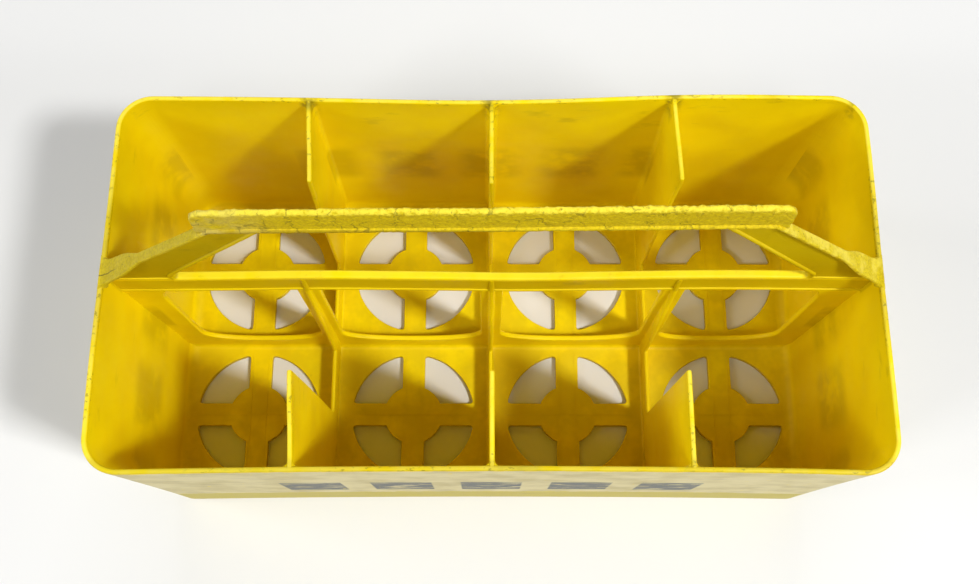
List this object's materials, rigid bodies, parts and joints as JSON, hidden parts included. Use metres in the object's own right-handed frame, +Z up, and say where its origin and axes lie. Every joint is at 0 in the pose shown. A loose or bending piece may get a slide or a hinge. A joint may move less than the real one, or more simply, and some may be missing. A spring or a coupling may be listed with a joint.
{
  "type": "bottle carrier",
  "caption": "Open-topped moulded plastic bottle carrier with a divided tub, a pierced floor and a tall central carrying handle.",
  "frame": {"origin": "middle of the underside, on the surface that the carrier stands on", "axes": "+Z up, +X along the handle and the long side of the tub, +Y towards the back row of cells"},
  "size_m": [0.3008, 0.1514, 0.1846],
  "materials": {
    "moulded_polyethylene": "satin injection-moulded polyethylene, saturated yellow, with scuffs and dark specks on its edges",
    "printed_field": null,
    "weathered_grip": "sun-bleached, rough and finely cracked polyethylene on the grip and the arms"
  },
  "bodies": {
    "root": {"carrier": "moulded_polyethylene"}
  },
  "joints": []
}
